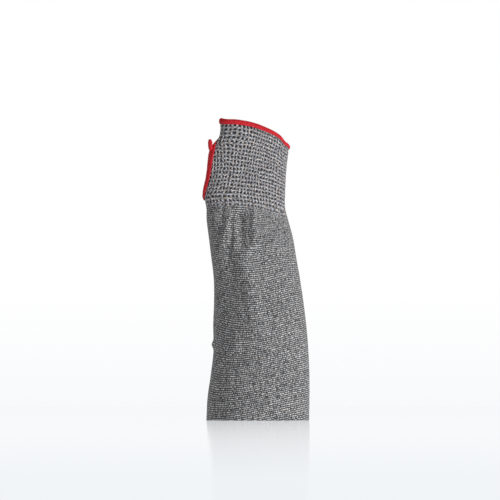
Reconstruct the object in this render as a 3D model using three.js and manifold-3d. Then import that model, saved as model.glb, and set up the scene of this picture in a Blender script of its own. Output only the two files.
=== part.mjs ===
// A knitted, cut resistant sleeve for the right forearm and hand, in the form that it has when worn.
// Millimetres. +Z runs up the arm, +X is to the right and -Y is the side of the back of the hand.
// The origin is the centre of the hem opening, whose rim lies on z = 0.
import * as THREE from 'three';
import { ParametricGeometry } from 'three/addons/geometries/ParametricGeometry.js';
import { mergeVertices } from 'three/addons/utils/BufferGeometryUtils.js';
import Module from 'manifold-3d';

// Driving dimensions.
const sleeveLength = 356;      // from the hem to the highest point of the finger edge
const sleeveWidth = 121;       // across the hem, from left to right
const sleeveDepth = 94;        // across the hem, from front to back
const cuffLength = 106;        // the coarse knit round the wrist and the hand, where it is longest
const fingerEdgeDrop = 30;     // how far the finger edge falls from the thumb to the little finger
const armKnitThickness = 1.8;
const cuffKnitThickness = 2.2;
const knitGap = 0.3;           // left free between the two knits
const foldWidth = 6;           // the widest fold, from its middle to where it fades
const foldDepth = 3;           // the deepest fold
const bindingGrip = 4.4;       // how far a binding reaches over the knit
const bindingThickness = 1.1;  // the thread over the knit's faces and its edge
const bindingGap = 0.45;       // left free between a binding and the knit in it
const thumbHoleWidth = 22;
const stripHeight = 31;        // from the top of the finger edge down to the thumb hole
const footHeight = 12.5;       // from the change of knit up to the thumb hole
const thumbHoleSetback = 1.5;  // how far behind the thumb side the hole's foot lies
const thumbHoleLean = 6;       // how much farther behind it the hole's top lies
const tailLength = 8;          // the loose end of the thumb hole's thread chain
const tailThickness = 3.6;
const tailLean = 30;           // degrees from upright, to the left

// What follows from them.
const edgeUp = sleeveLength - bindingGap - bindingThickness;
const knitChange = sleeveLength - cuffLength;
const holeFoot = knitChange + footHeight;
const holeTop = sleeveLength - stripHeight;
const wallMiddle = armKnitThickness / 2;

// The outside of the sleeve at 18 heights. up is a share of sleeveLength, left and right are shares of
// sleeveWidth, thick and back (the middle's place from front to back) of sleeveDepth, and turn is the
// angle in degrees by which the oval's thumb end comes forward.
const sections = [
  { up: 0.000, left: -0.497, right: 0.502, thick: 1.000, back: 0.000, turn: 6 },
  { up: 0.072, left: -0.486, right: 0.505, thick: 0.990, back: -0.010, turn: 7 },
  { up: 0.152, left: -0.454, right: 0.505, thick: 0.970, back: -0.020, turn: 8 },
  { up: 0.231, left: -0.427, right: 0.495, thick: 0.935, back: -0.037, turn: 10 },
  { up: 0.311, left: -0.431, right: 0.476, thick: 0.895, back: -0.053, turn: 12 },
  { up: 0.390, left: -0.422, right: 0.448, thick: 0.840, back: -0.075, turn: 15 },
  { up: 0.470, left: -0.426, right: 0.413, thick: 0.775, back: -0.095, turn: 18 },
  { up: 0.550, left: -0.454, right: 0.372, thick: 0.700, back: -0.117, turn: 21 },
  { up: 0.609, left: -0.475, right: 0.342, thick: 0.650, back: -0.127, turn: 23 },
  { up: 0.662, left: -0.493, right: 0.298, thick: 0.605, back: -0.127, turn: 24 },
  { up: 0.702, left: -0.494, right: 0.268, thick: 0.575, back: -0.122, turn: 25 },
  { up: 0.750, left: -0.524, right: 0.267, thick: 0.535, back: -0.105, turn: 25 },
  { up: 0.811, left: -0.504, right: 0.276, thick: 0.490, back: -0.075, turn: 26 },
  { up: 0.851, left: -0.486, right: 0.286, thick: 0.457, back: -0.048, turn: 27 },
  { up: 0.891, left: -0.452, right: 0.300, thick: 0.425, back: -0.020, turn: 27 },
  { up: 0.926, left: -0.390, right: 0.309, thick: 0.405, back: 0.000, turn: 28 },
  { up: 0.960, left: -0.364, right: 0.307, thick: 0.388, back: 0.027, turn: 28 },
  { up: 1.000, left: -0.358, right: 0.302, thick: 0.372, back: 0.053, turn: 28 },
];

// The finger edge on its way round from the thumb. drop is a share of fingerEdgeDrop.
const fingerEdge = [
  { around: 0.00, drop: 0.02 },
  { around: 0.06, drop: 0.08 },
  { around: 0.12, drop: 0.10 },
  { around: 0.20, drop: 0.19 },
  { around: 0.26, drop: 0.29 },
  { around: 0.32, drop: 0.41 },
  { around: 0.37, drop: 0.54 },
  { around: 0.40, drop: 0.66 },
  { around: 0.43, drop: 0.85 },
  { around: 0.46, drop: 0.93 },
  { around: 0.50, drop: 1.00 },
  { around: 0.58, drop: 0.95 },
  { around: 0.68, drop: 0.66 },
  { around: 0.80, drop: 0.30 },
  { around: 0.91, drop: 0.06 },
];

// The folds, each from its lower to its upper end. The ups are shares of sleeveLength, width is a
// share of foldWidth and height of foldDepth, less than nothing for a valley.
const folds = [
  { fromAround: 0.115, fromUp: 0.650, toAround: 0.120, toUp: 0.705, width: 0.45, height: -0.75 },
  { fromAround: 0.080, fromUp: 0.573, toAround: 0.097, toUp: 0.630, width: 0.50, height: -0.60 },
  { fromAround: 0.108, fromUp: 0.560, toAround: 0.143, toUp: 0.665, width: 0.50, height: 0.60 },
  { fromAround: 0.153, fromUp: 0.615, toAround: 0.178, toUp: 0.675, width: 0.55, height: -0.85 },
  { fromAround: 0.115, fromUp: 0.531, toAround: 0.153, toUp: 0.615, width: 0.55, height: -0.60 },
  { fromAround: 0.223, fromUp: 0.600, toAround: 0.232, toUp: 0.670, width: 0.90, height: -0.90 },
  { fromAround: 0.168, fromUp: 0.424, toAround: 0.178, toUp: 0.545, width: 1.00, height: -1.00 },
  { fromAround: 0.193, fromUp: 0.326, toAround: 0.168, toUp: 0.424, width: 0.90, height: -0.90 },
  { fromAround: 0.222, fromUp: 0.548, toAround: 0.270, toUp: 0.674, width: 0.80, height: 0.50 },
  { fromAround: 0.235, fromUp: 0.287, toAround: 0.222, toUp: 0.548, width: 0.80, height: 0.50 },
  { fromAround: 0.167, fromUp: 0.205, toAround: 0.178, toUp: 0.242, width: 0.80, height: -0.50 },
  { fromAround: 0.400, fromUp: 0.595, toAround: 0.427, toUp: 0.683, width: 0.70, height: -0.50 },
  { fromAround: 0.325, fromUp: 0.657, toAround: 0.335, toUp: 0.690, width: 0.40, height: -0.40 },
  { fromAround: 0.980, fromUp: 0.248, toAround: 0.030, toUp: 0.252, width: 0.65, height: 0.80 },
  { fromAround: 0.010, fromUp: 0.233, toAround: 0.108, toUp: 0.219, width: 0.40, height: -0.55 },
  { fromAround: 0.620, fromUp: 0.560, toAround: 0.650, toUp: 0.680, width: 0.90, height: -0.70 },
  { fromAround: 0.800, fromUp: 0.540, toAround: 0.770, toUp: 0.670, width: 0.90, height: -0.60 },
];

// How finely the solids are faceted.
const armSlices = 54;
const armRows = 20;
const armRowCrowding = 1.5;    // rows lie closer towards the wrist, where the gathers are
const cuffSlices = 64;
const cuffRows = 15;
const holeSlices = 40;
const cutReach = 7;            // how far the hole's cutter stands out of both faces of the knit
const hemEase = 8;             // the height above the hem in which the wall comes upright
const edgeBend = 1.3;          // how the drop of the finger edge builds up through the cuff

// Eases between a table's rows, which are sorted by their column key.
function between(rows, key, at, column) {
  let first = 0;
  while (first < rows.length - 2 && at > rows[first + 1][key]) {
    first += 1;
  }
  const from = rows[first];
  const to = rows[first + 1];
  const before = rows[Math.max(first - 1, 0)];
  const after = rows[Math.min(first + 2, rows.length - 1)];
  const span = to[key] - from[key];
  const t = THREE.MathUtils.clamp((at - from[key]) / span, 0, 1);
  const slopeIn = span * (to[column] - before[column]) / (to[key] - before[key]);
  const slopeOut = span * (after[column] - from[column]) / (after[key] - from[key]);
  const rise = t * t * (3 - 2 * t);
  return from[column] * (1 - rise) + to[column] * rise
    + slopeIn * t * (1 - t) * (1 - t) - slopeOut * t * t * (1 - t);
}

// The finger edge's rows, with the ones past either end of the way round.
const edgeLoop = [
  { ...fingerEdge.at(-1), around: fingerEdge.at(-1).around - 1 },
  ...fingerEdge,
  { ...fingerEdge[0], around: 1 + fingerEdge[0].around },
  { ...fingerEdge[1], around: 1 + fingerEdge[1].around },
];

function wrapped(around) {
  return around - Math.floor(around);
}

// The height of a place in the cloth: its courses are level on the arm and follow the finger edge above.
function heightOf(around, up) {
  const share = THREE.MathUtils.clamp((up - knitChange) / cuffLength, 0, 1);
  const drop = between(edgeLoop, 'around', wrapped(around), 'drop');
  return up - fingerEdgeDrop * drop * share ** edgeBend;
}

// The oval at a height. around starts at the side of the thumb and goes over the back of the hand.
// shift evens out the steps along an oval, whose ends bend more than its flanks.
function ovalPoint(z, around) {
  const at = THREE.MathUtils.clamp(z / sleeveLength, 0, 1);
  const left = sleeveWidth * between(sections, 'up', at, 'left') + wallMiddle;
  const right = sleeveWidth * between(sections, 'up', at, 'right') - wallMiddle;
  const halfThick = sleeveDepth * between(sections, 'up', at, 'thick') / 2 - wallMiddle;
  const back = sleeveDepth * between(sections, 'up', at, 'back');
  const turn = THREE.MathUtils.degToRad(between(sections, 'up', at, 'turn'));
  const halfSeen = (right - left) / 2;
  const halfBroad = Math.sqrt(halfSeen ** 2 - (halfThick * Math.sin(turn)) ** 2) / Math.cos(turn);
  const shift = (halfBroad ** 2 - halfThick ** 2) / (halfBroad ** 2 + halfThick ** 2) / 4;
  const side = -Math.atan(halfThick / halfBroad * Math.tan(turn));
  const even = side - shift * Math.sin(2 * side) + 2 * Math.PI * wrapped(around);
  const angle = even + shift * Math.sin(2 * even);
  const broad = halfBroad * Math.cos(angle);
  const thick = halfThick * Math.sin(angle);
  return new THREE.Vector3(
    (left + right) / 2 - broad * Math.cos(turn) + thick * Math.sin(turn),
    back - broad * Math.sin(turn) - thick * Math.cos(turn),
    z,
  );
}

// How far the folds lift the cloth at a place. Distances round the arm are taken on its width.
function foldLift(around, up) {
  const girth = Math.PI * (sleeveWidth + sleeveDepth) / 2;
  let lift = 0;
  for (const fold of folds) {
    const turns = Math.round(around - fold.fromAround);
    const start = new THREE.Vector2(girth * fold.fromAround, sleeveLength * fold.fromUp);
    const toAround = fold.toAround - Math.round(fold.toAround - fold.fromAround);
    const end = new THREE.Vector2(girth * toAround, sleeveLength * fold.toUp);
    const place = new THREE.Vector2(girth * (around - turns), up);
    const along = end.clone().sub(start);
    const share = THREE.MathUtils.clamp(place.clone().sub(start).dot(along) / along.lengthSq(), 0, 1);
    const distance = place.distanceTo(start.addScaledVector(along, share));
    lift += foldDepth * fold.height * Math.exp(-((distance / (foldWidth * fold.width)) ** 2));
  }
  return lift;
}

function ovalSkin(around, up) {
  return ovalPoint(heightOf(around, up), around);
}

function normalOf(surface, around, up) {
  const step = 1e-3;
  const round = surface(around + step, up).sub(surface(around - step, up));
  const rising = surface(around, up + 1).sub(surface(around, up - 1));
  const normal = round.cross(rising).normalize();
  normal.z *= THREE.MathUtils.clamp(up / hemEase, 0, 1);
  return normal.normalize();
}

function foldedSkin(around, up) {
  const lift = foldLift(wrapped(around), up);
  return ovalSkin(around, up).addScaledVector(normalOf(ovalSkin, around, up), lift);
}

// A place in the cloth, out millimetres out of the middle of its thickness.
function clothPoint(around, up, out) {
  return foldedSkin(around, up).addScaledVector(normalOf(foldedSkin, around, up), out);
}

// A closed geometry with only its positions, its shared corners merged.
function merged(geometry) {
  geometry.deleteAttribute('normal');
  geometry.deleteAttribute('uv');
  return mergeVertices(geometry, 1e-3);
}

// A knit tube's wall: up its outer face, over its upper rim, down its inner face and under its foot.
function knitWall(bottom, top, thickness, slices, rows, crowding) {
  const steps = 2 * (rows + 1);
  const wall = new ParametricGeometry((u, v, target) => {
    const step = Math.round(v * steps) % steps;
    const outside = step <= rows;
    const row = outside ? step : steps - 1 - step;
    const up = top - (top - bottom) * (1 - row / rows) ** crowding;
    target.copy(clothPoint(u, up, outside ? thickness / 2 : -thickness / 2));
  }, slices, steps);
  return merged(wall);
}

// A binding's section as a closed outline: along runs past the knit's edge and out through its wall.
// The grip is in two steps where the knit bends under it.
function bindingSection(knitThickness, gripSteps) {
  const inner = knitThickness / 2 + bindingGap;
  const outer = inner + bindingThickness;
  const lip = bindingGap + bindingThickness;
  const outline = [];
  for (let step = 0; step <= gripSteps; step += 1) {
    outline.push({ along: -bindingGrip * (1 - step / gripSteps), out: outer });
  }
  outline.push({ along: 0.75 * lip, out: 0.7 * outer });
  outline.push({ along: lip, out: 0 });
  outline.push({ along: 0.75 * lip, out: -0.7 * outer });
  for (let step = gripSteps; step >= 0; step -= 1) {
    outline.push({ along: -bindingGrip * (1 - step / gripSteps), out: -outer });
  }
  for (let step = 0; step <= gripSteps; step += 1) {
    outline.push({ along: bindingGap - (bindingGrip + bindingGap) * (1 - step / gripSteps), out: -inner });
  }
  for (let step = gripSteps; step >= 0; step -= 1) {
    outline.push({ along: bindingGap - (bindingGrip + bindingGap) * (1 - step / gripSteps), out: inner });
  }
  return outline;
}

// A section led round a closed edge. place gives the point at a share of the way round.
function bindingLoop(section, place, slices) {
  const loop = new ParametricGeometry((u, v, target) => {
    const corner = section[Math.round(v * section.length) % section.length];
    target.copy(place(u, corner.along, corner.out));
  }, slices, section.length);
  return merged(loop);
}

// How many millimetres one turn of around stands for at the thumb side, at a height in the cloth.
function thumbSideScale(up) {
  const step = 5e-3;
  return ovalSkin(step, up).distanceTo(ovalSkin(-step, up)) / (2 * step);
}

// The thumb hole's outline in the cloth, an oval that leans back: side is millimetres to the front of
// the thumb side. across and rise go from -1 to 1.
function holePlace(across, rise) {
  const up = (holeFoot + holeTop) / 2 + rise * (holeTop - holeFoot) / 2;
  const centre = -thumbHoleSetback - thumbHoleLean * (1 + rise) / 2;
  return { side: centre + across * thumbHoleWidth / 2, up };
}

function holeEdgePoint(turn, along, out) {
  const angle = 2 * Math.PI * turn;
  const step = 0.01;
  const here = holePlace(Math.cos(angle), Math.sin(angle));
  const ahead = holePlace(Math.cos(angle + step), Math.sin(angle + step));
  const length = Math.hypot(ahead.side - here.side, ahead.up - here.up);
  const side = here.side - along * (ahead.up - here.up) / length;
  const up = here.up + along * (ahead.side - here.side) / length;
  return clothPoint(side / thumbSideScale(up), up, out);
}

const wasm = await Module();
wasm.setup();

function solidOf(geometry) {
  return new wasm.Manifold(new wasm.Mesh({
    numProp: 3,
    vertProperties: geometry.attributes.position.array,
    triVerts: new Uint32Array(geometry.index.array),
  }));
}

function geometryOf(solid) {
  const mesh = solid.getMesh();
  const geometry = new THREE.BufferGeometry();
  geometry.setAttribute('position', new THREE.BufferAttribute(mesh.vertProperties, 3));
  geometry.setIndex(new THREE.BufferAttribute(mesh.triVerts, 1));
  return geometry;
}

// A lens that fills the thumb hole and stands out of both faces of the knit.
function holeCutter() {
  const disc = merged(new THREE.CylinderGeometry(1, 1, 2, 2 * holeSlices));
  const position = disc.attributes.position;
  for (let index = 0; index < position.count; index += 1) {
    const place = holePlace(position.getZ(index), position.getX(index));
    const out = cutReach * position.getY(index);
    const point = clothPoint(place.side / thumbSideScale(place.up), place.up, out);
    position.setXYZ(index, point.x, point.y, point.z);
  }
  return disc;
}

function forearmTube() {
  return knitWall(0, knitChange - knitGap / 2, armKnitThickness, armSlices, armRows, armRowCrowding);
}

function handCuff() {
  const wall = knitWall(knitChange + knitGap / 2, edgeUp, cuffKnitThickness, cuffSlices, cuffRows, 1);
  return geometryOf(solidOf(wall).subtract(solidOf(holeCutter())));
}

function fingerEdgeBinding() {
  const place = (turn, along, out) => clothPoint(turn, edgeUp + along, out);
  return bindingLoop(bindingSection(cuffKnitThickness, 1), place, cuffSlices);
}

// The thread chain's loose end stands on the hole's rim, where the front leg turns back at its top.
function chainTail() {
  const radius = tailThickness / 2;
  const tail = new THREE.CapsuleGeometry(radius, tailLength - tailThickness, 3, 8);
  tail.translate(0, tailLength / 2 - radius, 0);
  tail.rotateX(Math.PI / 2);
  tail.rotateY(-THREE.MathUtils.degToRad(tailLean));
  const foot = holeEdgePoint(0.18, radius + bindingGap, radius);
  tail.translate(foot.x, foot.y, foot.z);
  return merged(tail);
}

function thumbHoleBinding() {
  const loop = bindingLoop(bindingSection(cuffKnitThickness, 2), holeEdgePoint, holeSlices);
  return geometryOf(solidOf(loop).add(solidOf(chainTail())));
}

const fineKnit = new THREE.MeshStandardMaterial({ color: '#77787a', roughness: 0.95, metalness: 0 });
const coarseKnit = new THREE.MeshStandardMaterial({ color: '#838486', roughness: 0.95, metalness: 0 });
const redThread = new THREE.MeshStandardMaterial({ color: '#c81f2d', roughness: 0.8, metalness: 0 });

const group = new THREE.Group();

function addPiece(name, geometry, material) {
  geometry.computeVertexNormals();
  const piece = new THREE.Mesh(geometry, material);
  piece.name = name;
  group.add(piece);
}

addPiece('forearm_tube', forearmTube(), fineKnit);
addPiece('hand_cuff', handCuff(), coarseKnit);
addPiece('finger_edge_binding', fingerEdgeBinding(), redThread);
addPiece('thumb_hole_binding', thumbHoleBinding(), redThread);

export default group;
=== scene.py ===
# A knitted, cut resistant sleeve for the right forearm and hand, in the form that it has when worn.
# Lengths are in millimetres up to the last step of each piece, which turns them to metres.
import bmesh
import bpy
import math
import numpy as np
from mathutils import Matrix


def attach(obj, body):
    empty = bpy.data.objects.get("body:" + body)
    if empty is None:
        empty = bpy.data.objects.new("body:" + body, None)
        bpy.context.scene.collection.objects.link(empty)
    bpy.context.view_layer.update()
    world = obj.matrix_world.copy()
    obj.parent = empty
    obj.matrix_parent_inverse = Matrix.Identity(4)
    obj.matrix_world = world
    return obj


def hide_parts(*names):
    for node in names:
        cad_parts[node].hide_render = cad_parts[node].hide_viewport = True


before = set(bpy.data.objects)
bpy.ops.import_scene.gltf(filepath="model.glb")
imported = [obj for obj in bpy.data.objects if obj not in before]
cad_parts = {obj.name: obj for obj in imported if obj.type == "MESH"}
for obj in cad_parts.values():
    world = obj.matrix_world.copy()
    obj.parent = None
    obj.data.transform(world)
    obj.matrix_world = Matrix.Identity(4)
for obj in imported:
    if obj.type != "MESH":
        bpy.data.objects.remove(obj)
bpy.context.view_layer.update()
mm = 0.001

# The sleeve's form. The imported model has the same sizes, but for shallower folds.
sleeve = {
    "length": 356,          # from the hem to the highest point of the finger edge
    "width": 121,           # across the hem, from left to right
    "depth": 94,            # across the hem, from front to back
    "cuffLength": 106,      # the coarse knit, where it is longest
    "fingerEdgeDrop": 30,   # how far the finger edge falls towards the little finger
    "edgeBend": 1.3,        # how that drop builds up through the cuff
    "hemEase": 8,           # the wall comes upright in this height above the hem
    "wallMiddle": 0.9,      # the sections are the outside, this far out from the wall's middle
    "foldWidth": 6,         # the widest fold, from its middle to where it fades
    "foldDepth": 4.2,       # a fold whose height is 1 in the table
    "bindingLip": 1.55,     # the thread and its clearance past the knit's edge
    "knitFall": 10,         # how far the change of knit falls along with the finger edge
    "knitTilt": 3.5,        # half of how far it falls besides, away from its crest
    "knitCrest": 0.20,      # where round the wrist that crest is
    "patchRows": 256,       # rows of random values, after which the patches repeat up the sleeve
    "weld": 0.002,          # vertices that lie nearer together than this become one
}
knitChange = sleeve["length"] - sleeve["cuffLength"]
edgeUp = sleeve["length"] - sleeve["bindingLip"]

# Lengths are shares of the sleeve's length, width and depth, and turn is in degrees.
sectionColumns = ("up", "left", "right", "thick", "back", "turn")
sections = dict(zip(sectionColumns, np.array([
    (0.000, -0.497, 0.502, 1.000, 0.000, 6),
    (0.072, -0.486, 0.505, 0.990, -0.010, 7),
    (0.152, -0.454, 0.505, 0.970, -0.020, 8),
    (0.231, -0.427, 0.495, 0.935, -0.037, 10),
    (0.311, -0.431, 0.476, 0.895, -0.053, 12),
    (0.390, -0.422, 0.448, 0.840, -0.075, 15),
    (0.470, -0.426, 0.413, 0.775, -0.095, 18),
    (0.550, -0.454, 0.372, 0.700, -0.117, 21),
    (0.609, -0.475, 0.342, 0.650, -0.127, 23),
    (0.662, -0.493, 0.298, 0.605, -0.127, 24),
    (0.702, -0.494, 0.268, 0.575, -0.122, 25),
    (0.750, -0.524, 0.267, 0.535, -0.105, 25),
    (0.811, -0.504, 0.276, 0.490, -0.075, 26),
    (0.851, -0.486, 0.286, 0.457, -0.048, 27),
    (0.891, -0.452, 0.300, 0.425, -0.020, 27),
    (0.926, -0.390, 0.309, 0.405, 0.000, 28),
    (0.960, -0.364, 0.307, 0.388, 0.027, 28),
    (1.000, -0.358, 0.302, 0.372, 0.053, 28),
]).T))

# The finger edge on its way round from the thumb: the drop is a share of fingerEdgeDrop.
fingerEdge = np.array([
    (0.00, 0.02), (0.06, 0.08), (0.12, 0.10), (0.20, 0.19), (0.26, 0.29),
    (0.32, 0.41), (0.37, 0.54), (0.40, 0.66), (0.43, 0.85), (0.46, 0.93),
    (0.50, 1.00), (0.58, 0.95), (0.68, 0.66), (0.80, 0.30), (0.91, 0.06),
])

# Folds from their lower to their upper end: around and up at both, then width and height as shares
# of foldWidth and foldDepth, below nothing for a valley.
folds = [
    (0.115, 0.650, 0.120, 0.705, 0.45, -0.60),
    (0.080, 0.573, 0.097, 0.630, 0.50, -0.45),
    (0.098, 0.560, 0.142, 0.665, 0.45, 0.55),
    (0.140, 0.590, 0.166, 0.675, 0.45, -0.55),
    (0.125, 0.531, 0.150, 0.600, 0.50, -0.45),
    (0.184, 0.575, 0.196, 0.665, 1.10, -1.25),
    (0.236, 0.575, 0.258, 0.680, 0.80, 1.00),
    (0.120, 0.350, 0.130, 0.540, 2.60, -0.65),
    (0.224, 0.300, 0.174, 0.560, 2.00, 0.80),
    (0.193, 0.326, 0.168, 0.424, 0.90, -0.30),
    (0.167, 0.205, 0.178, 0.242, 0.80, -0.25),
    (0.400, 0.595, 0.427, 0.683, 0.70, -0.35),
    (0.325, 0.657, 0.335, 0.690, 0.40, -0.30),
    (0.980, 0.248, 0.030, 0.252, 0.65, 0.57),
    (0.010, 0.233, 0.108, 0.219, 0.40, -0.30),
    (0.620, 0.560, 0.650, 0.680, 0.90, -0.50),
    (0.800, 0.540, 0.770, 0.670, 0.90, -0.45),
    (0.985, 0.890, 0.000, 0.945, 1.20, -0.35),
]


def eased(keys, values, at):
    slopes = np.empty(len(keys))
    slopes[1:-1] = (values[2:] - values[:-2]) / (keys[2:] - keys[:-2])
    slopes[0] = (values[1] - values[0]) / (keys[1] - keys[0])
    slopes[-1] = (values[-1] - values[-2]) / (keys[-1] - keys[-2])
    row = np.clip(np.searchsorted(keys, at) - 1, 0, len(keys) - 2)
    span = keys[row + 1] - keys[row]
    t = np.clip((at - keys[row]) / span, 0, 1)
    rise = t * t * (3 - 2 * t)
    bend = slopes[row] * t * (1 - t) ** 2 - slopes[row + 1] * t * t * (1 - t)
    return values[row] * (1 - rise) + values[row + 1] * rise + span * bend


def edgeDrop(around):
    loop = np.concatenate([fingerEdge[-1:] - (1, 0), fingerEdge, fingerEdge[:2] + (1, 0)])
    return eased(loop[:, 0], loop[:, 1], around % 1)


def heightOf(around, up):
    # level on the arm, and along the finger edge at the top
    share = np.clip((up - knitChange) / sleeve["cuffLength"], 0, 1)
    return up - sleeve["fingerEdgeDrop"] * edgeDrop(around) * share ** sleeve["edgeBend"]


def ovalPlace(around, up):
    # around starts at the thumb's side and goes over the back of the hand, which faces -Y
    z = heightOf(around, up)
    at = np.clip(z / sleeve["length"], 0, 1)
    section = {name: eased(sections["up"], sections[name], at) for name in sectionColumns[1:]}
    left = sleeve["width"] * section["left"] + sleeve["wallMiddle"]
    right = sleeve["width"] * section["right"] - sleeve["wallMiddle"]
    halfThick = sleeve["depth"] * section["thick"] / 2 - sleeve["wallMiddle"]
    turn = np.radians(section["turn"])
    halfBroad = np.sqrt(((right - left) / 2) ** 2 - (halfThick * np.sin(turn)) ** 2) / np.cos(turn)
    shift = (halfBroad ** 2 - halfThick ** 2) / (halfBroad ** 2 + halfThick ** 2) / 4
    side = -np.arctan(halfThick / halfBroad * np.tan(turn))
    even = side - shift * np.sin(2 * side) + 2 * math.pi * around
    angle = even + shift * np.sin(2 * even)
    broad = halfBroad * np.cos(angle)
    thick = halfThick * np.sin(angle)
    return np.stack([
        (left + right) / 2 - broad * np.cos(turn) + thick * np.sin(turn),
        sleeve["depth"] * section["back"] - broad * np.sin(turn) - thick * np.cos(turn),
        z,
    ], axis=-1)


def foldLift(around, up):
    girth = math.pi * (sleeve["width"] + sleeve["depth"]) / 2
    lift = np.zeros(np.shape(up))
    for fromAround, fromUp, toAround, toUp, width, height in folds:
        toAround -= round(toAround - fromAround)
        alongX = girth * (toAround - fromAround)
        alongY = sleeve["length"] * (toUp - fromUp)
        x = girth * (around - fromAround - np.round(around - fromAround))
        y = up - sleeve["length"] * fromUp
        share = np.clip((x * alongX + y * alongY) / (alongX ** 2 + alongY ** 2), 0, 1)
        gap = np.hypot(x - share * alongX, y - share * alongY)
        lift += sleeve["foldDepth"] * height * np.exp(-(gap / (sleeve["foldWidth"] * width)) ** 2)
    return lift


def normalsOf(surface, around, up):
    step = 1e-3
    across = surface(around + step, up) - surface(around - step, up)
    rising = surface(around, up + 1) - surface(around, up - 1)
    normals = np.cross(across, rising)
    normals /= np.linalg.norm(normals, axis=-1, keepdims=True)
    normals[..., 2] *= np.clip(up / sleeve["hemEase"], 0, 1)
    return normals / np.linalg.norm(normals, axis=-1, keepdims=True)


def knitChangeAt(around):
    # the height of the change of knit, which falls towards the little finger as the rows do
    tilt = 1 - np.cos(2 * math.pi * (around - sleeve["knitCrest"]))
    return knitChange - sleeve["knitFall"] * edgeDrop(around) - sleeve["knitTilt"] * tilt


def foldedPlace(around, up):
    lift = foldLift(around, up)[..., None]
    return ovalPlace(around, up) + normalsOf(ovalPlace, around, up) * lift


def clothPlace(around, up, out):
    # a place in the cloth, out millimetres from the middle of its thickness
    return foldedPlace(around, up) + normalsOf(foldedPlace, around, up) * out[..., None]


def patchNoise(across, rise, columns, seed):
    # smooth random patches from -1 to 1, which close round the sleeve after that many columns
    rows = sleeve["patchRows"]
    lattice = np.random.default_rng(seed).uniform(-1, 1, (columns, rows))
    column = np.floor(across).astype(int)
    row = np.floor(rise).astype(int)
    u = across - column
    v = rise - row
    u = u * u * (3 - 2 * u)
    v = v * v * (3 - 2 * v)
    corners = [[lattice[(column + right) % columns, (row + above) % rows] for right in (0, 1)]
               for above in (0, 1)]
    lower, upper = (start * (1 - u) + end * u for start, end in corners)
    return lower * (1 - v) + upper * v


def patchLift(patches, x, up):
    # each kind of patch has a height, a number round the sleeve, a size up it in mm and a seed
    return sum(height * patchNoise(x * count, up / size, count, seed)
               for height, count, size, seed in patches)


def addNode(tree, kind, inputs=None, **settings):
    node = tree.nodes.new(kind)
    for name, value in settings.items():
        setattr(node, name, value)
    for key, value in (inputs or {}).items():
        if isinstance(value, bpy.types.NodeSocket):
            tree.links.new(value, node.inputs[key])
        else:
            node.inputs[key].default_value = value
    return node


def fromHex(code):
    # an sRGB hex colour as linear red, green, blue and alpha
    parts = [int(code[i:i + 2], 16) / 255 for i in (1, 3, 5)]
    return [c / 12.92 if c <= 0.04045 else ((c + 0.055) / 1.055) ** 2.4 for c in parts] + [1]


def newMaterial(name):
    material = bpy.data.materials.new(name)
    material.use_nodes = True
    material.node_tree.nodes.clear()
    return material, material.node_tree


def ofKind(items, kind):
    return [item for item in items if isinstance(item, kind)]


def flatSlab(columns, rows):
    # x runs round the sleeve, y up it and z through its wall, each from 0 to 1
    bm = bmesh.new()
    bmesh.ops.create_grid(bm, x_segments=columns, y_segments=rows, size=0.5)
    bmesh.ops.translate(bm, verts=bm.verts, vec=(0.5, 0.5, 1))
    outer = bm.faces[:]
    inner = ofKind(bmesh.ops.duplicate(bm, geom=outer)["geom"], bmesh.types.BMFace)
    bmesh.ops.reverse_faces(bm, faces=inner)
    bmesh.ops.translate(bm, verts=list({v for face in inner for v in face.verts}), vec=(0, 0, -1))
    rims = [edge for edge in bm.edges if edge.is_boundary]
    bmesh.ops.bridge_loops(bm, edges=rims)
    return bm


def atSeam(verts):
    # whether all of these lie on one of the slab's two ends, which meet at the thumb's side
    xs = [vert.co.x for vert in verts]
    return max(xs) < 1e-6 or min(xs) > 1 - 1e-6


def writeUvs(bm, name, uvAt=None):
    # the flat slab's own x and y, so that the knit's rows and columns can be counted off
    layer = bm.loops.layers.uv.new(name)
    spots = np.array([vert.co[:2] for vert in bm.verts])
    if uvAt:
        spots = np.stack(uvAt(spots[:, 0], spots[:, 1]), axis=-1)
    bm.verts.index_update()
    for face in bm.faces:
        for loop in face.loops:
            loop[layer].uv = spots[loop.vert.index]


def moveAll(bm, place):
    flat = np.array([vert.co[:] for vert in bm.verts])
    moved = place(flat[:, 0], flat[:, 1], flat[:, 2]) * mm
    for vert, spot in zip(bm.verts, moved):
        vert.co = spot


def finishPiece(bm, name, material, node):
    mesh = bpy.data.meshes.new(name)
    bm.to_mesh(mesh)
    bm.free()
    mesh.shade_smooth()
    mesh.materials.append(material)
    piece = bpy.data.objects.new(name, mesh)
    bpy.context.scene.collection.objects.link(piece)
    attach(piece, "root")
    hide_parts(node)
    print(name, len(mesh.polygons), "faces")
    return piece


def marlYarn(tree, place, scale, tones, tints):
    # black, grey and white fibre twisted together: short patches along the yarn, some warmer, some cooler
    patches = addNode(tree, "ShaderNodeTexNoise", {
        "Vector": place,
        "Scale": scale,
        "Detail": 2.0,
        "Roughness": 0.6,
    }, noise_dimensions="2D")
    tinges = addNode(tree, "ShaderNodeTexNoise", {
        "Vector": place,
        "Scale": scale * 1.1,
        "Detail": 1.0,
    }, noise_dimensions="2D")
    ramp = addNode(tree, "ShaderNodeValToRGB", {"Fac": patches.outputs["Fac"]})
    tint = addNode(tree, "ShaderNodeValToRGB", {"Fac": tinges.outputs["Color"]})
    for shades, found in ((tones, ramp), (tints, tint)):
        elements = found.color_ramp.elements
        for index, (position, tone) in enumerate(shades):
            element = elements[index] if index < 2 else elements.new(position)
            element.position = position
            element.color = fromHex(tone)
    tinted = addNode(tree, "ShaderNodeVectorMath", {
        0: ramp.outputs["Color"],
        1: tint.outputs["Color"],
    }, operation="MULTIPLY")
    return tinted.outputs[0]


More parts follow.
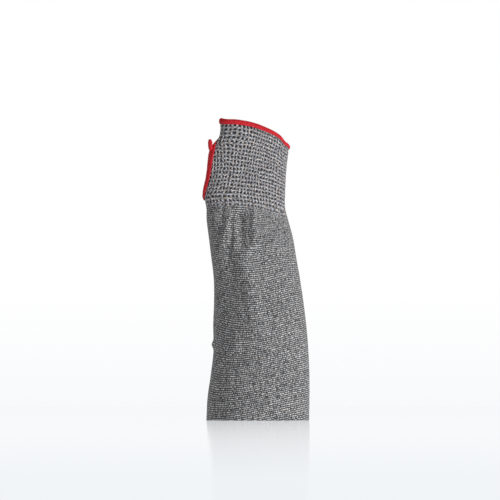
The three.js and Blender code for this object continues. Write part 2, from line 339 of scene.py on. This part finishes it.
def yarnSurface(tree, colour, shade, normal=None):
    # matte fibre with a little fuzz, its colour darkened by painted shade where a stitch lies low
    shaded = addNode(tree, "ShaderNodeVectorMath", {0: colour, 1: shade}, operation="MULTIPLY")
    inputs = {"Base Color": shaded.outputs[0], "Roughness": 0.9, "Sheen Weight": 0.1, "Sheen Roughness": 0.5}
    if normal:
        inputs["Normal"] = normal
    shader = addNode(tree, "ShaderNodeBsdfPrincipled", inputs)
    addNode(tree, "ShaderNodeOutputMaterial", {"Surface": shader.outputs["BSDF"]})


def mathChain(tree, value, *steps):
    # one Math node after another, each a name of an operation and its other values
    for operation, *others in steps:
        inputs = {index: other for index, other in enumerate([value, *others])}
        value = addNode(tree, "ShaderNodeMath", inputs, operation=operation).outputs[0]
    return value


# From a distance to a yarn's middle, in halves of its width, to its height: 1 at the top, 0 beside it.
roundTop = (("POWER", 2.0), ("SUBTRACT", 1.0), ("MULTIPLY", -1.0), ("MAXIMUM", 0.0), ("SQRT",))


def countStitches(tree, knit):
    # the piece's own map, counted in stitches across and rows up, and then how far from a stitch's middle
    uv = addNode(tree, "ShaderNodeUVMap", uv_map="Knit")
    count = addNode(tree, "ShaderNodeVectorMath", {
        0: uv.outputs["UV"],
        1: (knit["wales"], knit["courses"], 1),
    }, operation="MULTIPLY")
    cell = addNode(tree, "ShaderNodeSeparateXYZ", {0: count.outputs[0]})
    across, up = cell.outputs["X"], cell.outputs["Y"]
    fromMiddle = mathChain(tree, across, ("FRACT",), ("SUBTRACT", 0.5), ("ABSOLUTE",))
    return count.outputs[0], across, up, fromMiddle


def coarseKnitYarn():
    # thick marl yarn: two upright legs and a bar to each stitch, which leave a pit between them, real in the
    # mesh and darkened further by painted shade
    knit = cuffKnit
    material, tree = newMaterial("Marl yarn, coarse knit")
    count, across, up, fromMiddle = countStitches(tree, knit)
    turn = mathChain(tree, up, ("MULTIPLY", 2 * math.pi), ("COSINE",))
    legCentre = mathChain(tree, turn, ("MULTIPLY_ADD", -knit["legBow"], knit["legPlace"]))
    upright = mathChain(tree, fromMiddle, ("SUBTRACT", legCentre), ("DIVIDE", knit["legWidth"]), *roundTop)
    # from 0 at the thumb to 1 at the little finger, where the bars stand out and the legs sink
    far = mathChain(tree, across, ("MULTIPLY", 2 * math.pi / knit["wales"]), ("COSINE",),
                    ("MULTIPLY_ADD", -0.5, 0.5))
    sunk = addNode(tree, "ShaderNodeTexNoise", {
        "Vector": count,
        "Scale": knit["sinksPerStitch"],
        "Detail": 0.0,
    }, noise_dimensions="2D")
    left = mathChain(tree, sunk.outputs["Fac"], ("MULTIPLY", far), ("MULTIPLY_ADD", -knit["legFade"], 1.0))
    leg = mathChain(tree, upright, ("MULTIPLY", left))
    barHalf = mathChain(tree, far, ("MULTIPLY_ADD", knit["barSpread"], knit["barWidth"]))
    arch = mathChain(tree, fromMiddle, ("MULTIPLY", 2 * math.pi), ("COSINE",),
                     ("MULTIPLY_ADD", -knit["barArch"], up))
    bar = mathChain(tree, arch, ("ADD", 0.5), ("FRACT",), ("SUBTRACT", 0.5), ("DIVIDE", barHalf), *roundTop)
    lean = mathChain(tree, across, ("MULTIPLY_ADD", knit["plyLean"], up))
    ply = mathChain(tree, lean, ("MULTIPLY", 2 * math.pi * knit["plies"]), ("SINE",),
                    ("MULTIPLY_ADD", knit["plyRelief"], knit["plyHeight"]))
    filled = mathChain(tree, up, ("MULTIPLY_ADD", -knit["footFill"] / knit["footRows"], knit["footFill"]))
    # the yarn's height in a stitch, which sets both the bump and the painted shade
    height = mathChain(tree, leg, ("MAXIMUM", bar), ("MULTIPLY", ply), ("MAXIMUM", filled))
    yarn = marlYarn(tree, count, knit["patchesPerStitch"], knit["tones"], knit["tints"])
    # painted shade from the mesh's own recess, darkest at the bottom of a pit
    recess = addNode(tree, "ShaderNodeAttribute", attribute_name="recess")
    paintedRecessShade = addNode(tree, "ShaderNodeMapRange", {
        "Value": recess.outputs["Fac"],
        "From Min": knit["recessStart"],
        "From Max": knit["recessEnd"],
        "To Min": 1.0,
        "To Max": knit["recessShade"],
    })
    # painted shade from the yarn's height, darkest in a pit
    shade = addNode(tree, "ShaderNodeMapRange", {
        "Value": height,
        "To Min": knit["pitShade"],
        "To Max": 1.0,
    })
    both = mathChain(tree, shade.outputs["Result"], ("MULTIPLY", paintedRecessShade.outputs["Result"]))
    bump = addNode(tree, "ShaderNodeBump", {
        "Height": height,
        "Strength": 0.9,
        "Distance": knit["bump"] * mm,
    })
    yarnSurface(tree, yarn, both, bump.outputs["Normal"])
    return material


def fineKnitYarn():
    # the same yarn in a thin jersey: each row reads as light dashes over a gap darkened by painted shade
    knit = armKnit
    material, tree = newMaterial("Marl yarn, fine knit")
    across, up, fromMiddle = countStitches(tree, knit)[1:]
    slanted = mathChain(tree, fromMiddle, ("MULTIPLY_ADD", knit["legSlant"], up))
    shift = mathChain(tree, slanted, ("FLOOR",), ("MULTIPLY", knit["rowShift"]))
    crown = mathChain(tree, slanted, ("MULTIPLY", math.pi), ("SINE",), ("ABSOLUTE",))
    alongRow = addNode(tree, "ShaderNodeCombineXYZ", {"X": across, "Y": shift})
    yarn = marlYarn(tree, alongRow.outputs[0], knit["patchesPerStitch"], knit["tones"], knit["tints"])
    # painted shade in the gap between two rows
    row = addNode(tree, "ShaderNodeMapRange", {
        "Value": crown,
        "From Min": knit["gapEdge"],
        "From Max": knit["yarnEdge"],
        "To Min": knit["gapShade"],
        "To Max": 1.0,
    })
    # painted shade between two stitches of a row
    stitchGapShade = mathChain(tree, shift, ("ADD", across), ("MULTIPLY", math.pi), ("SINE",), ("ABSOLUTE",),
                     ("ADD", knit["dashShade"]), ("MINIMUM", 1.0))
    shade = mathChain(tree, row.outputs["Result"], ("MULTIPLY", stitchGapShade))
    bump = addNode(tree, "ShaderNodeBump", {
        "Height": crown,
        "Strength": 0.8,
        "Distance": knit["bump"] * mm,
    })
    yarnSurface(tree, yarn, shade, bump.outputs["Normal"])
    return material


def overlockThread():
    # textured polyester: closely laid wraps, matte, each a shade lighter or darker
    material, tree = newMaterial("Polyester overlock thread")
    uv = addNode(tree, "ShaderNodeUVMap", uv_map="Wraps")
    strands = addNode(tree, "ShaderNodeTexNoise", {
        "Vector": uv.outputs["UV"],
        "Scale": overlock["shadesAlong"],
        "Detail": 3.0,
    }, noise_dimensions="2D")
    ramp = addNode(tree, "ShaderNodeValToRGB", {"Fac": strands.outputs["Fac"]})
    for element, (position, tone) in zip(ramp.color_ramp.elements, overlock["tones"]):
        element.position = position
        element.color = fromHex(tone)
    shader = addNode(tree, "ShaderNodeBsdfPrincipled", {
        "Base Color": ramp.outputs["Color"],
        "Roughness": 0.65,
        "Specular IOR Level": 0.25,
    })
    addNode(tree, "ShaderNodeOutputMaterial", {"Surface": shader.outputs["BSDF"]})
    return material


# The coarse knit: a loose jersey of thick marl yarn, one pit to a stitch.
cuffKnit = {
    "wales": 56,              # stitches round the hand
    "courses": 22,            # rows from the change of knit to the finger edge, 4.8 mm each
    "meshPerStitch": 6,       # faces each way in a stitch
    "thickness": 2.2,
    "relief": 0.95,           # from the pit of a stitch to the crown of its legs
    "lift": 0.25,             # how far the crowns stand out of the wall
    "innerRelief": 0.3,       # a share of the relief
    "unevenness": 0.28,       # how much a stitch stands out of its row, a share of the relief
    "wobble": 0.16,           # how far a row strays, a share of a stitch
    "wobbleStitches": 4,      # the size of a patch that strays together
    "wobbleRows": 3,
    "wander": 0.2,            # how far a pit strays from its place, a share of a stitch
    "wanderRise": 4,          # how soon it comes to that above the lower and below the upper edge
    "pitDepth": 1.9,          # 2 would take every pit to the bottom
    "pitUnevenness": 0.35,    # how much darker or lighter a pit's painted shade is than the next's
    "holeSpread": 0.14,       # share of the way round in which the wales bend round the hole
    "gap": 0.3,               # left free between the two knits
    # the yarn in a stitch, whose middle is a pit: places and half widths are shares of a stitch
    "legPlace": 0.36,         # from the middle to each leg
    "legBow": 0.05,
    "legWidth": 0.20,
    "legFade": 0.8,           # how much lower a leg may lie at the little finger
    "sinksPerStitch": 1.3,    # places where it does
    "barWidth": 0.28,
    "barSpread": 0.13,        # how much wider a bar is at the little finger
    "barArch": 0.1,
    "plies": 3,
    "plyLean": 0.8,           # rows that a ply climbs in a stitch
    "plyRelief": 0.09,
    "plyHeight": 0.9,         # halfway up the plies, where the yarn's own height is 1
    "footFill": 0.5,          # how far the pits are filled where the knit starts
    "footRows": 2.5,          # and the rows in which that ends
    "bump": 0.9,              # the yarn's height in mm
    # painted shade, as how much of its colour the yarn keeps: at a pit's bottom, and by the mesh's own
    # recess
    "pitShade": 0.05,
    "recessShade": 0.1,
    "recessStart": 0.15,
    "recessEnd": 0.9,
    "patchesPerStitch": 2.2,  # light and dark patches of the yarn
    "tones": [(0.34, "#595b5e"), (0.46, "#9b9c9e"), (0.56, "#cecece"), (0.68, "#fbfaf7")],
    "tints": [(0.40, "#ffeee2"), (0.60, "#e2eeff")],
}

# The thumb hole's outline in the cloth, an oval that leans back.
thumbHole = {
    "width": 22,
    "foot": knitChange + 12.5,
    "top": sleeve["length"] - 31,
    "setback": 1.5,           # how far behind the thumb's side its foot lies
    "lean": 6,                # how much farther behind it its top lies
}


def thumbSideScale(up):
    # how many millimetres one turn of around stands for at the thumb's side
    step = 5e-3
    near = ovalPlace(np.full_like(up, step), up) - ovalPlace(np.full_like(up, -step), up)
    return np.linalg.norm(near, axis=-1) / (2 * step)


def holeCentre(up):
    share = (up - thumbHole["foot"]) / (thumbHole["top"] - thumbHole["foot"])
    return -thumbHole["setback"] - thumbHole["lean"] * share


def holeHalf(up):
    middle = (thumbHole["foot"] + thumbHole["top"]) / 2
    rise = 2 * (up - middle) / (thumbHole["top"] - thumbHole["foot"])
    return thumbHole["width"] / 2 * np.sqrt(np.clip(1 - rise ** 2, 0, 1))


def strayedStitch(x, y):
    # counted in stitches and rows, with each a little off its place
    knit = cuffKnit
    wale = x * knit["wales"]
    course = y * knit["courses"]
    aside = knit["wander"] * patchNoise(wale, course, knit["wales"], 14)
    higher = knit["wander"] * patchNoise(wale, course, knit["wales"], 15)
    return wale + aside, course + higher * np.clip(knit["wanderRise"] * np.minimum(y, 1 - y), 0, 1)


def strayedUv(x, y):
    wale, course = strayedStitch(x, y)
    return wale / cuffKnit["wales"], course / cuffKnit["courses"]


def stitchRelief(wale, course):
    # thick yarn round one pit, from -1 at the bottom of the pit to 1
    across = 0.5 + 0.5 * np.cos(2 * math.pi * (wale - 0.5))
    pit = 0.5 - 0.5 * np.cos(2 * math.pi * course)
    return 1 - cuffKnit["pitDepth"] * across * pit


def cuffUp(x, y):
    bottom = knitChangeAt(x) + cuffKnit["gap"] / 2
    return bottom + (edgeUp - bottom) * y


def cuffPlace(x, y, z):
    knit = cuffKnit
    wale, course = strayedStitch(x, y)
    patches = knit["wales"] // knit["wobbleStitches"]
    strayed = patchNoise(x * patches, y * knit["courses"] / knit["wobbleRows"], patches, 11)
    edgeFade = np.clip(np.minimum(y, 1 - y) * knit["courses"], 0, 1)
    up = cuffUp(x, y + knit["wobble"] * strayed * edgeFade / knit["courses"])
    scale = thumbSideScale(up)
    front = np.exp(-(x / knit["holeSpread"]) ** 2)
    rear = np.exp(-((1 - x) / knit["holeSpread"]) ** 2)
    around = x + (holeCentre(up) * (front + rear) + holeHalf(up) * (front - rear)) / scale
    relief = stitchRelief(wale, course)
    relief += knit["unevenness"] * patchNoise(x * 2 * knit["wales"], course, 2 * knit["wales"], 12)
    outer = knit["thickness"] / 2 + knit["relief"] * (relief - 1) / 2 + knit["lift"]
    inner = -knit["thickness"] / 2 - knit["innerRelief"] * knit["relief"] * relief
    return clothPlace(around, up, np.where(z > 0.5, outer, inner))


def makeCuff():
    knit = cuffKnit
    columns = knit["wales"] * knit["meshPerStitch"]
    rows = knit["courses"] * knit["meshPerStitch"]
    bm = flatSlab(columns, rows)
    writeUvs(bm, "Knit", strayedUv)
    seam = []
    for face in bm.faces:
        ys = [vert.co.y for vert in face.verts]
        if atSeam(face.verts) and not holeHalf(cuffUp(0, np.array((min(ys), max(ys))))).any():
            seam.append(face)
    bmesh.ops.delete(bm, geom=seam, context="FACES")
    # the recess of each vertex, which the material turns into painted shade, each pit a little darker or
    # lighter than the next
    flat = np.array([vert.co[:] for vert in bm.verts])
    wale, course = strayedStitch(flat[:, 0], flat[:, 1])
    depth = 0.5 - 0.5 * stitchRelief(wale, course)
    depth *= 1 + knit["pitUnevenness"] * patchNoise(wale, course, knit["wales"], 13)
    recess = bm.verts.layers.float.new("recess")
    for vert, value in zip(bm.verts, depth):
        vert[recess] = value
    edges = [vert for vert in bm.verts if atSeam([vert])]
    moveAll(bm, cuffPlace)
    bmesh.ops.remove_doubles(bm, verts=edges, dist=sleeve["weld"] * mm)
    cuff = finishPiece(bm, "coarseKnitCuff", coarseKnitYarn(), "hand_cuff")
    return cuff


# The fine knit: a jersey of thin marl yarn, whose rows sag a little over the front.
armKnit = {
    "wales": 150,
    "courses": 100,           # 2.5 mm each
    "columns": 288,           # faces round the arm
    "rows": 160,              # faces up the arm
    "thickness": 1.8,
    "sag": 28,                # how much lower a row runs over the front than at the sides
    "sagEven": 0.35,          # how soon that levels off on the way round
    "sagMiddle": 0.18,        # where round the arm a row is lowest
    "sagDrift": 0.09,         # how far that place moves towards the thumb at the hem
    "sagEase": 115,           # the height in which it does so
    "sagAtHem": 0.7,          # the share of the sag that is left there
    "sagFade": 70,            # how far below the change of knit the rows start to come level
    "sagBend": 1.3,           # and how sharply
    "gap": 0.3,
    # patches: how high they are, how many go round the arm, their size in mm up it and a seed
    "unevenness": [(0.07, 24, 16, 21), (0.03, 60, 6, 22)],
    "puckers": [(0.35, 44, 13, 23)],
    "puckerReach": 70,        # how far below the change of knit there are puckers
    "strays": [(0.2, 100, 4, 24)],      # of a row from its place, in rows
    "legSlant": 0.2,          # twice the rows that a leg rises over half a stitch
    "rowShift": 7.31,         # sets each row's dashes and patches apart from the next row's
    # the yarn in a row: from the middle of a gap at 0 to its own middle at 1
    "gapEdge": 0.35,
    "yarnEdge": 0.9,
    "gapShade": 0.02,         # painted shade: how much of its colour the yarn keeps between two rows
    "dashShade": 0.4,         # and its painted shade between two stitches of a row
    "bump": 0.38,             # the yarn's height in mm
    "patchesPerStitch": 2.0,
    "tones": [(0.34, "#4f5052"), (0.46, "#8a8b8d"), (0.56, "#c6c6c7"), (0.68, "#f6f5f3")],
    "tints": [(0.40, "#fffaf6"), (0.60, "#f6faff")],
}


def armRow(x, y):
    # the row that a place lies in, as a share of the arm's height: rows run low over the front
    knit = armKnit
    level = knitChange * y
    above = np.minimum(level / knit["sagEase"], 1)
    low = knit["sagMiddle"] - knit["sagDrift"] * (1 - above)
    fade = np.tanh(knit["sagBend"] * (knitChange - level) / knit["sagFade"])
    fade *= knit["sagAtHem"] + (1 - knit["sagAtHem"]) * above
    rise = 1 - np.cos(2 * math.pi * (x - low))
    sag = knit["sag"] * fade * rise / (1 + knit["sagEven"] * rise)
    return x, y + patchLift(knit["strays"], x, level) / knit["courses"] - sag / knitChange


def armPlace(x, y, z):
    knit = armKnit
    up = (knitChangeAt(x) - knit["gap"] / 2) * y
    puckered = np.clip(1 - (knitChange - up) / knit["puckerReach"], 0, 1)
    lift = patchLift(knit["unevenness"], x, up) + patchLift(knit["puckers"], x, up) * puckered
    return clothPlace(x, up, np.where(z > 0.5, knit["thickness"] / 2, -knit["thickness"] / 2) + lift)


def makeForearm():
    bm = flatSlab(armKnit["columns"], armKnit["rows"])
    writeUvs(bm, "Knit", armRow)
    ends = [face for face in bm.faces if atSeam(face.verts)]
    bmesh.ops.delete(bm, geom=ends, context="FACES")
    edges = [vert for vert in bm.verts if atSeam([vert])]
    moveAll(bm, armPlace)
    bmesh.ops.remove_doubles(bm, verts=edges, dist=sleeve["weld"] * mm)
    tube = finishPiece(bm, "fineKnitForearm", fineKnitYarn(), "forearm_tube")
    return tube


# The overlocked edges: red polyester thread wrapped closely round the knit's edge.
overlock = {
    "edgeRound": 232,         # the way round the finger edge
    "edgeGrip": 5.6,          # how far the band reaches over the knit there
    "holeRound": 147,         # the way round the thumb hole
    "holeGrip": 5.0,          # and the band's reach there
    "holeBroad": 3.6,         # added to that at its broadest
    "broadAt": 0.15,          # where on the way round the hole that is
    "broadSpread": 0.09,      # and how soon it fades
    "inner": 1.55,            # from the knit's middle to the thread's underside
    "thread": 1.1,            # the thread's thickness over the knit
    "footThread": 0.45,       # and at the band's foot
    "clearance": 0.45,        # between the thread and the knit's edge
    "pitch": 1.5,             # from one wrap to the next
    "wrapRelief": 0.3,
    "wrapMiddle": 0.6,        # between a wrap's crown at 1 and its groove at 0
    "wrapEnd": 0.72,          # the share of the outline that the wraps cover
    "wrapRise": 8,            # how soon they stand up from the band's feet
    "slant": 0.8,             # wraps that the slant covers across the band
    "lumps": 0.25,            # how uneven the wraps are
    "bodyAt": 0.35,           # the share of the grip about which the band swells
    "facesPerWrap": 5,
    "faces": 22,              # round the band's own outline
    "shadesAlong": 60.0,      # spots of light and dark thread round a band, 2.5 to 4 mm each
    "tones": [(0.35, "#ab0a13"), (0.65, "#e12d3a")],
}


def overlockOutline(share, grip):
    # the band's closed outline, from its outer foot over the edge, down inside and back under itself
    inner = overlock["inner"]
    outer = inner + overlock["thread"]
    foot = inner + overlock["footThread"]
    # share of the outline, how far along the knit in grips, how far past its edge in lips, how far out
    spots = np.array([
        (0.00, -1.00, 0.00, foot),
        (0.06, -0.80, 0.00, 0.95 * outer),
        (0.13, -0.45, 0.00, 1.04 * outer),
        (0.21, 0.00, 0.00, 0.97 * outer),
        (0.29, 0.00, 0.62, 0.66 * outer),
        (0.36, 0.00, 1.00, 0.00),
        (0.43, 0.00, 0.62, -0.66 * outer),
        (0.51, 0.00, 0.00, -0.97 * outer),
        (0.59, -0.45, 0.00, -1.04 * outer),
        (0.66, -0.80, 0.00, -0.95 * outer),
        (0.72, -1.00, 0.00, -foot),
        (0.75, -1.00, 0.00, -inner),
        (0.84, 0.00, 0.29, -inner),
        (0.88, 0.00, 0.29, inner),
        (0.97, -1.00, 0.00, inner),
        (1.00, -1.00, 0.00, foot),
    ])
    grips, lips, out = (np.interp(share, spots[:, 0], spots[:, column]) for column in (1, 2, 3))
    return grip * grips + (overlock["clearance"] + overlock["thread"]) * lips, out


def bandPlace(edgePlace, wraps, gripAt):
    def place(x, y, z):
        band = overlock
        grip = gripAt(x)
        along, out = overlockOutline(y, grip)
        onOutside = np.clip(band["wrapRise"] * np.minimum(y, band["wrapEnd"] - y), 0, 1)
        wrap = np.abs(np.sin(math.pi * (x * wraps + band["slant"] * y / band["wrapEnd"])))
        lumps = band["lumps"] * patchNoise(x * wraps / 3, y * 4, wraps // 3, 31)
        relief = band["wrapRelief"] * onOutside * (wrap - band["wrapMiddle"] + lumps)
        swell = 1 + relief / band["inner"]
        centre = -band["bodyAt"] * grip
        return edgePlace(x, centre + (along - centre) * (0.5 + 0.5 * swell), out * swell)
    return place


def fingerGrip(turn):
    return np.full_like(turn, overlock["edgeGrip"])


def holeGrip(turn):
    # broadest on the front leg, where the seam's end is sewn over
    gap = turn - overlock["broadAt"]
    broad = np.exp(-((gap - np.round(gap)) / overlock["broadSpread"]) ** 2)
    return overlock["holeGrip"] + overlock["holeBroad"] * broad


def makeBand(edgePlace, length, gripAt):
    wraps = 3 * round(length / overlock["pitch"] / 3)
    columns = wraps * overlock["facesPerWrap"]
    bm = bmesh.new()
    bmesh.ops.create_grid(bm, x_segments=columns, y_segments=overlock["faces"], size=0.5)
    bmesh.ops.translate(bm, verts=bm.verts, vec=(0.5, 0.5, 0))
    writeUvs(bm, "Wraps")
    moveAll(bm, bandPlace(edgePlace, wraps, gripAt))
    bmesh.ops.remove_doubles(bm, verts=bm.verts, dist=sleeve["weld"] * mm)
    bmesh.ops.recalc_face_normals(bm, faces=bm.faces)
    return bm


def fingerEdgePlace(x, along, out):
    return clothPlace(x, edgeUp + along, out)


def makeFingerEdge():
    bm = makeBand(fingerEdgePlace, overlock["edgeRound"], fingerGrip)
    return finishPiece(bm, "fingerEdgeOverlock", overlockThread(), "finger_edge_binding")


def holeEdgePlace(turn, along, out):
    middle = (thumbHole["foot"] + thumbHole["top"]) / 2
    halfHigh = (thumbHole["top"] - thumbHole["foot"]) / 2

    def spot(angle):
        up = middle + halfHigh * np.sin(angle)
        return holeCentre(up) + thumbHole["width"] / 2 * np.cos(angle), up

    step = 0.01
    angle = 2 * math.pi * turn
    side, up = spot(angle)
    nextSide, nextUp = spot(angle + step)
    length = np.hypot(nextSide - side, nextUp - up)
    across = side - along * (nextUp - up) / length
    rise = up + along * (nextSide - side) / length
    return clothPlace(across / thumbSideScale(rise), rise, out)


# The loose end of the thread chain, where the hole's front leg turns back at its top.
chainTail = {
    "length": 14,
    "thickness": 5.4,
    "lean": 4,                # degrees from upright, to the left
    "turn": 0.11,             # where on the way round the hole it starts
    "inset": -3.4,            # how far its foot lies into the hole
    "lift": 2.2,              # and out from the knit's middle
    "twist": 3.2,             # turns of the chain from end to end
    "lump": 0.1,              # how far its two strands stand out, a share of its radius
}


def addTail(bm):
    tail = chainTail
    radius = tail["thickness"] / 2
    made = bmesh.ops.create_uvsphere(bm, u_segments=24, v_segments=28, radius=1)
    foot = holeEdgePlace(np.array([tail["turn"]]), np.array([tail["inset"]]), np.array([tail["lift"]]))[0]
    lean = math.radians(tail["lean"])
    for vert in made["verts"]:
        x, y, z = vert.co
        turn = math.atan2(y, x) + tail["twist"] * math.pi * z
        lump = 1 + tail["lump"] * math.cos(2 * turn)
        along = (tail["length"] / 2 - radius) * math.sin(z * math.pi / 2) + radius * z + tail["length"] / 2
        x, y = x * radius * lump, y * radius * lump
        place = (foot[0] + x * math.cos(lean) - along * math.sin(lean), foot[1] + y,
                 foot[2] + x * math.sin(lean) + along * math.cos(lean))
        vert.co = [v * mm for v in place]


def makeThumbHoleEdge():
    bm = makeBand(holeEdgePlace, overlock["holeRound"], holeGrip)
    addTail(bm)
    return finishPiece(bm, "thumbHoleOverlock", overlockThread(), "thumb_hole_binding")


# The studio: a pale, slightly glossy sweep, one large light from the right and white all round.
studio = {
    "camera": (-8.85, -3000, 30),
    "aim": (-8.85, 0, 200.4),
    "lens": 183.35,
    "sweepNear": -3600,
    "sweepFar": 3400,
    "sweepHigh": 2600,
    "sweepWide": 3600,
    "bendRadius": 500,
    "bendFaces": 24,
    "bounce": 0.5,            # how bright the card is to the sleeve, where the camera sees 1
    "ambient": 0.21,          # and the world
    "lightAim": (-8, 0, 180),
    "keySpot": (1900, -1400, 350),
    "keySize": 600,
    "keyPower": 40,
    "fillSpot": (-1700, -1300, 200),
    "fillSize": 1200,
    "fillPower": 6,
}

# The card's tones and gloss, which change with the distance from the camera.
card = {
    "nearTone": "#f0f4f7",
    "farTone": "#f8f9fb",
    "toneFrom": -2300,
    "toneTo": -1000,
    "whiteAt": 310,           # the height on the wall from which it is white
    "nearGloss": 0.03,
    "farGloss": 0.46,
    "glossFrom": -2100,
    "glossTo": -40,
    "roughness": 0.08,
    "floorTop": 1,            # only what lies lower than this is glossy
}


def makeCamera():
    camera = bpy.data.cameras.new("camera")
    camera.lens = studio["lens"]
    camera.sensor_width = 36
    camera.clip_end = 100
    holder = bpy.data.objects.new("camera", camera)
    spot, aim = np.array(studio["camera"]) * mm, np.array(studio["aim"]) * mm
    tilt = math.atan2(aim[2] - spot[2], aim[1] - spot[1])
    holder.location = spot
    holder.rotation_euler = (math.pi / 2 + tilt, 0, 0)
    bpy.context.scene.collection.objects.link(holder)
    bpy.context.scene.camera = holder


def makeSweep():
    # a strip of floor, spun up into a wall behind the sleeve
    near = studio["sweepNear"] * mm
    far = studio["sweepFar"] * mm
    bm = bmesh.new()
    start = [bm.verts.new((side * studio["sweepWide"] * mm, near, 0)) for side in (-1, 1)]
    floor = bmesh.ops.extrude_edge_only(bm, edges=[bm.edges.new(start)])["geom"]
    moved = ofKind(floor, bmesh.types.BMVert)
    bmesh.ops.translate(bm, verts=moved, vec=(0, far - near, 0))
    line = [edge for edge in ofKind(floor, bmesh.types.BMEdge)
            if edge.is_boundary and all(vert in moved for vert in edge.verts)]
    centre = (0, far, studio["bendRadius"] * mm)
    bend = bmesh.ops.spin(bm, geom=line + moved, cent=centre, axis=(1, 0, 0), angle=math.pi / 2,
                          steps=studio["bendFaces"], use_merge=False)["geom_last"]
    wall = bmesh.ops.extrude_edge_only(bm, edges=ofKind(bend, bmesh.types.BMEdge))["geom"]
    bmesh.ops.translate(bm, verts=ofKind(wall, bmesh.types.BMVert), vec=(0, 0, studio["sweepHigh"] * mm))
    mesh = bpy.data.meshes.new("studio sweep")
    bm.to_mesh(mesh)
    bm.free()
    mesh.shade_smooth()
    sweep = bpy.data.objects.new("studioSweep", mesh)
    bpy.context.scene.collection.objects.link(sweep)
    mesh.materials.append(palePaper())


def toCamera(tree):
    # 1 for a ray that the camera sees, straight or in the gloss, and 0 for one that lights the sleeve
    path = addNode(tree, "ShaderNodeLightPath")
    return mathChain(tree, path.outputs["Is Camera Ray"], ("MAXIMUM", path.outputs["Is Glossy Ray"]))


def palePaper():
    # matte white card under a thin gloss, which mirrors softly what stands on it
    material, tree = newMaterial("Pale glossy card")
    where = addNode(tree, "ShaderNodeTexCoord")
    place = addNode(tree, "ShaderNodeSeparateXYZ", {0: where.outputs["Object"]})
    away = addNode(tree, "ShaderNodeMapRange", {
        "Value": place.outputs["Y"],
        "From Min": card["toneFrom"] * mm,
        "From Max": card["toneTo"] * mm,
    })
    floor = addNode(tree, "ShaderNodeMix", {
        0: away.outputs[0],
        6: fromHex(card["nearTone"]),
        7: fromHex(card["farTone"]),
    }, data_type="RGBA")
    height = addNode(tree, "ShaderNodeMapRange", {
        "Value": place.outputs["Z"],
        "From Min": 0.0,
        "From Max": card["whiteAt"] * mm,
    })
    wall = addNode(tree, "ShaderNodeMix", {
        0: height.outputs[0],
        6: floor.outputs[2],
        7: (1, 1, 1, 1),
    }, data_type="RGBA")
    strength = addNode(tree, "ShaderNodeMapRange", {
        "Value": toCamera(tree),
        "To Min": studio["bounce"],
        "To Max": 1.0,
    })
    glow = addNode(tree, "ShaderNodeEmission", {
        "Color": wall.outputs[2],
        "Strength": strength.outputs[0],
    })
    mirror = addNode(tree, "ShaderNodeBsdfGlossy", {
        "Color": (1, 1, 1, 1),
        "Roughness": card["roughness"],
    })
    gloss = addNode(tree, "ShaderNodeMapRange", {
        "Value": place.outputs["Y"],
        "From Min": card["glossFrom"] * mm,
        "From Max": card["glossTo"] * mm,
        "To Min": card["nearGloss"],
        "To Max": card["farGloss"],
    })
    onFloor = mathChain(tree, place.outputs["Z"], ("LESS_THAN", card["floorTop"] * mm))
    share = mathChain(tree, gloss.outputs[0], ("MULTIPLY", onFloor))
    both = addNode(tree, "ShaderNodeMixShader", {
        0: share,
        1: glow.outputs[0],
        2: mirror.outputs[0],
    })
    addNode(tree, "ShaderNodeOutputMaterial", {"Surface": both.outputs[0]})
    return material


def makeLight(name, spot, size, power):
    light = bpy.data.lights.new(name, "AREA")
    light.size = size * mm
    light.energy = power
    holder = bpy.data.objects.new(name, light)
    bpy.context.scene.collection.objects.link(holder)
    holder.location = [v * mm for v in spot]
    toAim = [a - b for a, b in zip(studio["lightAim"], spot)]
    flat = math.hypot(toAim[0], toAim[1])
    holder.rotation_euler = (math.atan2(flat, -toAim[2]), 0, math.atan2(-toAim[0], toAim[1]))


def makeWorld():
    world = bpy.data.worlds.new("studio")
    bpy.context.scene.world = world
    world.use_nodes = True
    tree = world.node_tree
    tree.nodes.clear()
    white = (1, 1, 1, 1)
    back = addNode(tree, "ShaderNodeBackground", {"Color": white, "Strength": studio["ambient"]})
    seen = addNode(tree, "ShaderNodeBackground", {"Color": white, "Strength": 1.0})
    both = addNode(tree, "ShaderNodeMixShader", {
        0: toCamera(tree),
        1: back.outputs[0],
        2: seen.outputs[0],
    })
    addNode(tree, "ShaderNodeOutputWorld", {"Surface": both.outputs[0]})


makeForearm()
makeCuff()
makeFingerEdge()
makeThumbHoleEdge()
print("knit and edges made")
makeCamera()
makeSweep()
makeLight("key", studio["keySpot"], studio["keySize"], studio["keyPower"])
makeLight("fill", studio["fillSpot"], studio["fillSize"], studio["fillPower"])
makeWorld()
bpy.context.scene.view_settings.view_transform = "Standard"
print("studio made")
